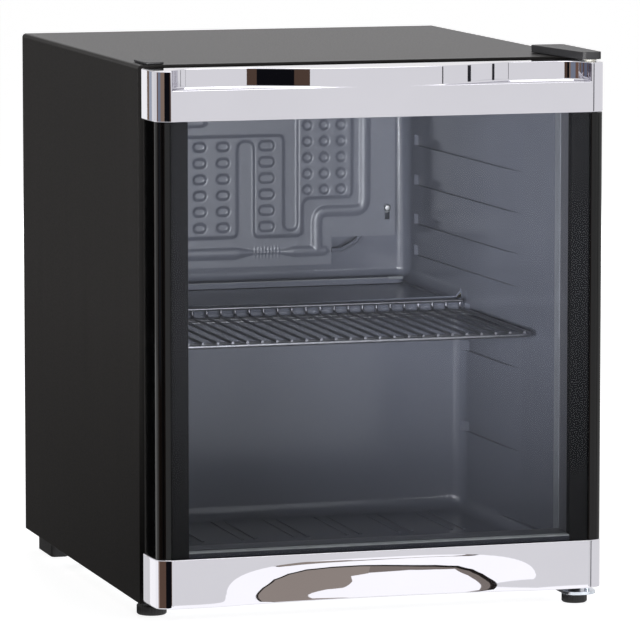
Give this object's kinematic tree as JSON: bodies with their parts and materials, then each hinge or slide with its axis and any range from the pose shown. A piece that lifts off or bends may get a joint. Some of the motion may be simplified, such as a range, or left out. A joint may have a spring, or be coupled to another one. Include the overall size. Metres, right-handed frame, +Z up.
{
  "type": "glass door refrigerator",
  "caption": "Countertop refrigerator with a right-hinged double-glazed door between chrome rails, a moulded liner with runner slots, a wire shelf and a roll-bond evaporator.",
  "frame": {"origin": "centre of the overall box at the level of the feet", "axes": "+Z up, the door faces -Y, the hinge side is +X"},
  "size_m": [0.432, 0.52, 0.5179],
  "materials": {
    "black_paint": "smooth black stove enamel",
    "zinc_steel": "plain galvanised sheet",
    "bright_zinc": "bright zinc plating",
    "screw_steel": "zinc-plated screw",
    "foam": "rigid insulating foam",
    "liner_plastic": "grey vacuum-formed sheet",
    "copper": "drawn copper tube",
    "evaporator_aluminium": "grey lacquered roll-bond sheet",
    "black_plastic": "moulded black plastic",
    "gloss_black": "glossy black moulding",
    "chrome_trim": "bright chrome plating",
    "shelf_chrome": "plated wire",
    "door_glass": "clear tinted float glass",
    "gasket_rubber": "soft extruded seal",
    "foot_rubber": "black rubber",
    "nylon": "natural nylon"
  },
  "bodies": {
    "cabinet": {"cabinet_shell": "black_paint", "base_pan": "zinc_steel", "back_panel": "black_paint", "bay_panel": "zinc_steel", "insulation_foam": "foam", "inner_liner": "liner_plastic", "condenser_coil_left": "copper", "condenser_coil_right": "copper", "evaporator_plate": "evaporator_aluminium", "evaporator_screw_left": "screw_steel", "evaporator_screw_right": "screw_steel", "evaporator_spacer_left": "liner_plastic", "evaporator_spacer_right": "liner_plastic", "capillary_tube": "copper", "drip_gutter": "liner_plastic", "top_hinge": "zinc_steel", "hinge_screw_front": "screw_steel", "hinge_screw_rear": "screw_steel", "hinge_cover": "black_plastic", "hinge_blank": "black_plastic", "bottom_hinge": "bright_zinc", "bracket_screw_front": "screw_steel", "bracket_screw_rear": "screw_steel", "rear_foot_left": "foot_rubber", "rear_foot_right": "foot_rubber", "crossbar": "zinc_steel", "compressor": "black_paint", "grommet_1": "foot_rubber", "grommet_2": "foot_rubber", "grommet_3": "foot_rubber", "grommet_4": "foot_rubber", "relay_cover": "black_plastic", "filter_drier": "copper", "liquid_tube": "copper", "discharge_tube": "copper", "suction_tube": "copper", "drip_tray": "black_plastic", "drain_spout": "liner_plastic", "thermostat_housing": "black_plastic", "terminal_box": "black_plastic", "cord_gland": "black_plastic"},
    "door": {"door_top_rail": "chrome_trim", "door_bottom_rail": "chrome_trim", "door_stile_left": "gloss_black", "door_stile_right": "gloss_black", "glass_outer": "door_glass", "glass_spacer": "black_plastic", "glass_inner": "door_glass", "door_inner_frame": "black_plastic", "door_gasket": "gasket_rubber", "door_bush_top": "nylon", "door_bush_bottom": "nylon"},
    "shelf": {"wire_shelf": "shelf_chrome"},
    "thermostat_dial": {"thermostat_knob": "liner_plastic"},
    "left_front_foot": {"front_foot_left": "foot_rubber"},
    "right_front_foot": {"front_foot_right": "foot_rubber"}
  },
  "joints": [
    {"name": "door_hinge", "type": "hinge", "parent": "cabinet", "child": "door", "pos_m": [0.207, -0.236, 0.26], "axis": [0, 0, 1], "range_deg": [0, 115]},
    {"name": "shelf_slide", "type": "slide", "parent": "cabinet", "child": "shelf", "axis": [0, -1, 0], "range_m": [0, 0.038]},
    {"name": "dial_turn", "type": "hinge", "parent": "cabinet", "child": "thermostat_dial", "pos_m": [0.16, 0.247, 0.1966], "axis": [0, 1, 0], "range_deg": [0, 270]},
    {"name": "left_foot_turn", "type": "hinge", "parent": "cabinet", "child": "left_front_foot", "pos_m": [-0.198, -0.1734, 0], "axis": [0, 0, 1], "range_deg": [-360, 360]},
    {"name": "right_foot_turn", "type": "hinge", "parent": "cabinet", "child": "right_front_foot", "pos_m": [0.199, -0.223, 0], "axis": [0, 0, 1], "range_deg": [-360, 360]}
  ]
}
